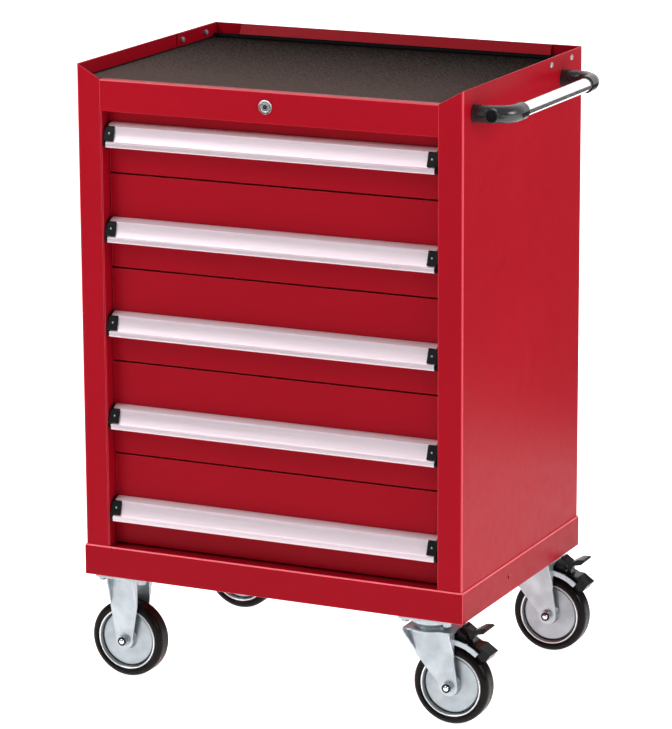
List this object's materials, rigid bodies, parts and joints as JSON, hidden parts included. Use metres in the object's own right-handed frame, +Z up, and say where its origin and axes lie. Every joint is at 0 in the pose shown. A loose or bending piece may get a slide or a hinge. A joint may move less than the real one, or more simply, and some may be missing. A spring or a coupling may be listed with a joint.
{
  "type": "rolling tool chest",
  "caption": "Steel tool cabinet on casters, with full-width drawers on telescopic slides, a matted top tray, a key lock and a side push handle.",
  "frame": {"origin": "on the floor, under the centre of the outer box", "axes": "+Z up, -Y towards the drawer fronts, +X towards the push handle"},
  "size_m": [0.724, 0.476, 0.99],
  "materials": {
    "red_paint": "glossy powder coat",
    "drawer_paint": "glossy powder coat",
    "pull_aluminium": "satin anodised",
    "black_plastic": "moulded, slight sheen",
    "chrome": "polished",
    "lock_chrome": "polished",
    "mat_rubber": "finely ribbed",
    "tyre": "smooth solid rubber",
    "wheel_grey": "satin grey",
    "zinc_plate": "bright zinc plate",
    "fastener_steel": "zinc plate",
    "pedal_black": "black coated steel"
  },
  "bodies": {
    "root": {"side_left": "red_paint", "side_right": "red_paint", "back_panel": "red_paint", "front_rail": "red_paint", "top_deck": "red_paint", "bottom_panel": "red_paint", "base_skirt": "red_paint", "tray_back_wall": "red_paint", "top_mat": "mat_rubber", "uprights": "zinc_plate", "slide_rails": "zinc_plate", "handle_arm_front": "black_plastic", "handle_arm_rear": "black_plastic", "handle_tube": "chrome", "lock_housing": "lock_chrome", "fasteners": "fastener_steel", "rigid_brackets": "zinc_plate", "rigid_axles": "zinc_plate", "swivel_plates": "zinc_plate"},
    "drawer_1": {"drawer_1_body": "drawer_paint", "drawer_1_pull": "pull_aluminium", "drawer_1_pull_caps": "black_plastic", "drawer_1_runners": "zinc_plate"},
    "slide_1": {"slide_1_middle": "zinc_plate"},
    "drawer_2": {"drawer_2_body": "drawer_paint", "drawer_2_pull": "pull_aluminium", "drawer_2_pull_caps": "black_plastic", "drawer_2_runners": "zinc_plate"},
    "slide_2": {"slide_2_middle": "zinc_plate"},
    "drawer_3": {"drawer_3_body": "drawer_paint", "drawer_3_pull": "pull_aluminium", "drawer_3_pull_caps": "black_plastic", "drawer_3_runners": "zinc_plate"},
    "slide_3": {"slide_3_middle": "zinc_plate"},
    "drawer_4": {"drawer_4_body": "drawer_paint", "drawer_4_pull": "pull_aluminium", "drawer_4_pull_caps": "black_plastic", "drawer_4_runners": "zinc_plate"},
    "slide_4": {"slide_4_middle": "zinc_plate"},
    "drawer_5": {"drawer_5_body": "drawer_paint", "drawer_5_pull": "pull_aluminium", "drawer_5_pull_caps": "black_plastic", "drawer_5_runners": "zinc_plate"},
    "slide_5": {"slide_5_middle": "zinc_plate"},
    "lock_key_plug": {"lock_plug": "lock_chrome"},
    "lock_shaft": {"lock_rod": "zinc_plate"},
    "caster_fr": {"caster_fr_fork": "zinc_plate", "caster_fr_axle": "zinc_plate"},
    "brake_fr": {"caster_fr_brake_pedal": "pedal_black"},
    "caster_rr": {"caster_rr_fork": "zinc_plate", "caster_rr_axle": "zinc_plate"},
    "brake_rr": {"caster_rr_brake_pedal": "pedal_black"},
    "wheel_fl": {"wheel_fl_hub": "wheel_grey", "wheel_fl_tyre": "tyre"},
    "wheel_rl": {"wheel_rl_hub": "wheel_grey", "wheel_rl_tyre": "tyre"},
    "wheel_fr": {"wheel_fr_hub": "wheel_grey", "wheel_fr_tyre": "tyre"},
    "wheel_rr": {"wheel_rr_hub": "wheel_grey", "wheel_rr_tyre": "tyre"}
  },
  "joints": [
    {"name": "drawer_1_slide", "type": "slide", "parent": "root", "child": "drawer_1", "axis": [0, -1, 0], "range_m": [0, 0.38]},
    {"name": "slide_1_extend", "type": "slide", "parent": "root", "child": "slide_1", "axis": [0, -1, 0], "range_m": [0, 0.19]},
    {"name": "drawer_2_slide", "type": "slide", "parent": "root", "child": "drawer_2", "axis": [0, -1, 0], "range_m": [0, 0.38]},
    {"name": "slide_2_extend", "type": "slide", "parent": "root", "child": "slide_2", "axis": [0, -1, 0], "range_m": [0, 0.19]},
    {"name": "drawer_3_slide", "type": "slide", "parent": "root", "child": "drawer_3", "axis": [0, -1, 0], "range_m": [0, 0.38]},
    {"name": "slide_3_extend", "type": "slide", "parent": "root", "child": "slide_3", "axis": [0, -1, 0], "range_m": [0, 0.19]},
    {"name": "drawer_4_slide", "type": "slide", "parent": "root", "child": "drawer_4", "axis": [0, -1, 0], "range_m": [0, 0.38]},
    {"name": "slide_4_extend", "type": "slide", "parent": "root", "child": "slide_4", "axis": [0, -1, 0], "range_m": [0, 0.19]},
    {"name": "drawer_5_slide", "type": "slide", "parent": "root", "child": "drawer_5", "axis": [0, -1, 0], "range_m": [0, 0.38]},
    {"name": "slide_5_extend", "type": "slide", "parent": "root", "child": "slide_5", "axis": [0, -1, 0], "range_m": [0, 0.19]},
    {"name": "lock_turn", "type": "hinge", "parent": "root", "child": "lock_key_plug", "pos_m": [-0.0325, -0.235, 0.944], "axis": [0, -1, 0], "range_deg": [0, 90]},
    {"name": "lock_shaft_turn", "type": "hinge", "parent": "root", "child": "lock_shaft", "pos_m": [-0.3395, -0.216, 0.6], "axis": [0, 0, 1], "range_deg": [0, 45]},
    {"name": "caster_fr_swivel", "type": "hinge", "parent": "root", "child": "caster_fr", "pos_m": [0.2285, -0.2, 0.15], "axis": [0, 0, 1], "continuous": true},
    {"name": "caster_fr_brake", "type": "hinge", "parent": "caster_fr", "child": "brake_fr", "pos_m": [0.2645, -0.2, 0.138], "axis": [0, 1, 0], "range_deg": [0, 5]},
    {"name": "caster_rr_swivel", "type": "hinge", "parent": "root", "child": "caster_rr", "pos_m": [0.2285, 0.2, 0.15], "axis": [0, 0, 1], "continuous": true},
    {"name": "caster_rr_brake", "type": "hinge", "parent": "caster_rr", "child": "brake_rr", "pos_m": [0.2645, 0.2, 0.138], "axis": [0, 1, 0], "range_deg": [0, 5]},
    {"name": "wheel_fl_roll", "type": "hinge", "parent": "root", "child": "wheel_fl", "pos_m": [-0.2995, -0.2, 0.0625], "axis": [0, 1, 0], "continuous": true},
    {"name": "wheel_rl_roll", "type": "hinge", "parent": "root", "child": "wheel_rl", "pos_m": [-0.2995, 0.2, 0.0625], "axis": [0, 1, 0], "continuous": true},
    {"name": "wheel_fr_roll", "type": "hinge", "parent": "caster_fr", "child": "wheel_fr", "pos_m": [0.2645, -0.2, 0.0625], "axis": [0, 1, 0], "continuous": true},
    {"name": "wheel_rr_roll", "type": "hinge", "parent": "caster_rr", "child": "wheel_rr", "pos_m": [0.2645, 0.2, 0.0625], "axis": [0, 1, 0], "continuous": true}
  ],
  "couplings": [
    {"joint": "slide_1_extend", "follows": "drawer_1_slide", "ratio": 0.5},
    {"joint": "slide_2_extend", "follows": "drawer_2_slide", "ratio": 0.5},
    {"joint": "slide_3_extend", "follows": "drawer_3_slide", "ratio": 0.5},
    {"joint": "slide_4_extend", "follows": "drawer_4_slide", "ratio": 0.5},
    {"joint": "slide_5_extend", "follows": "drawer_5_slide", "ratio": 0.5},
    {"joint": "lock_shaft_turn", "follows": "lock_turn", "ratio": 0.5}
  ]
}
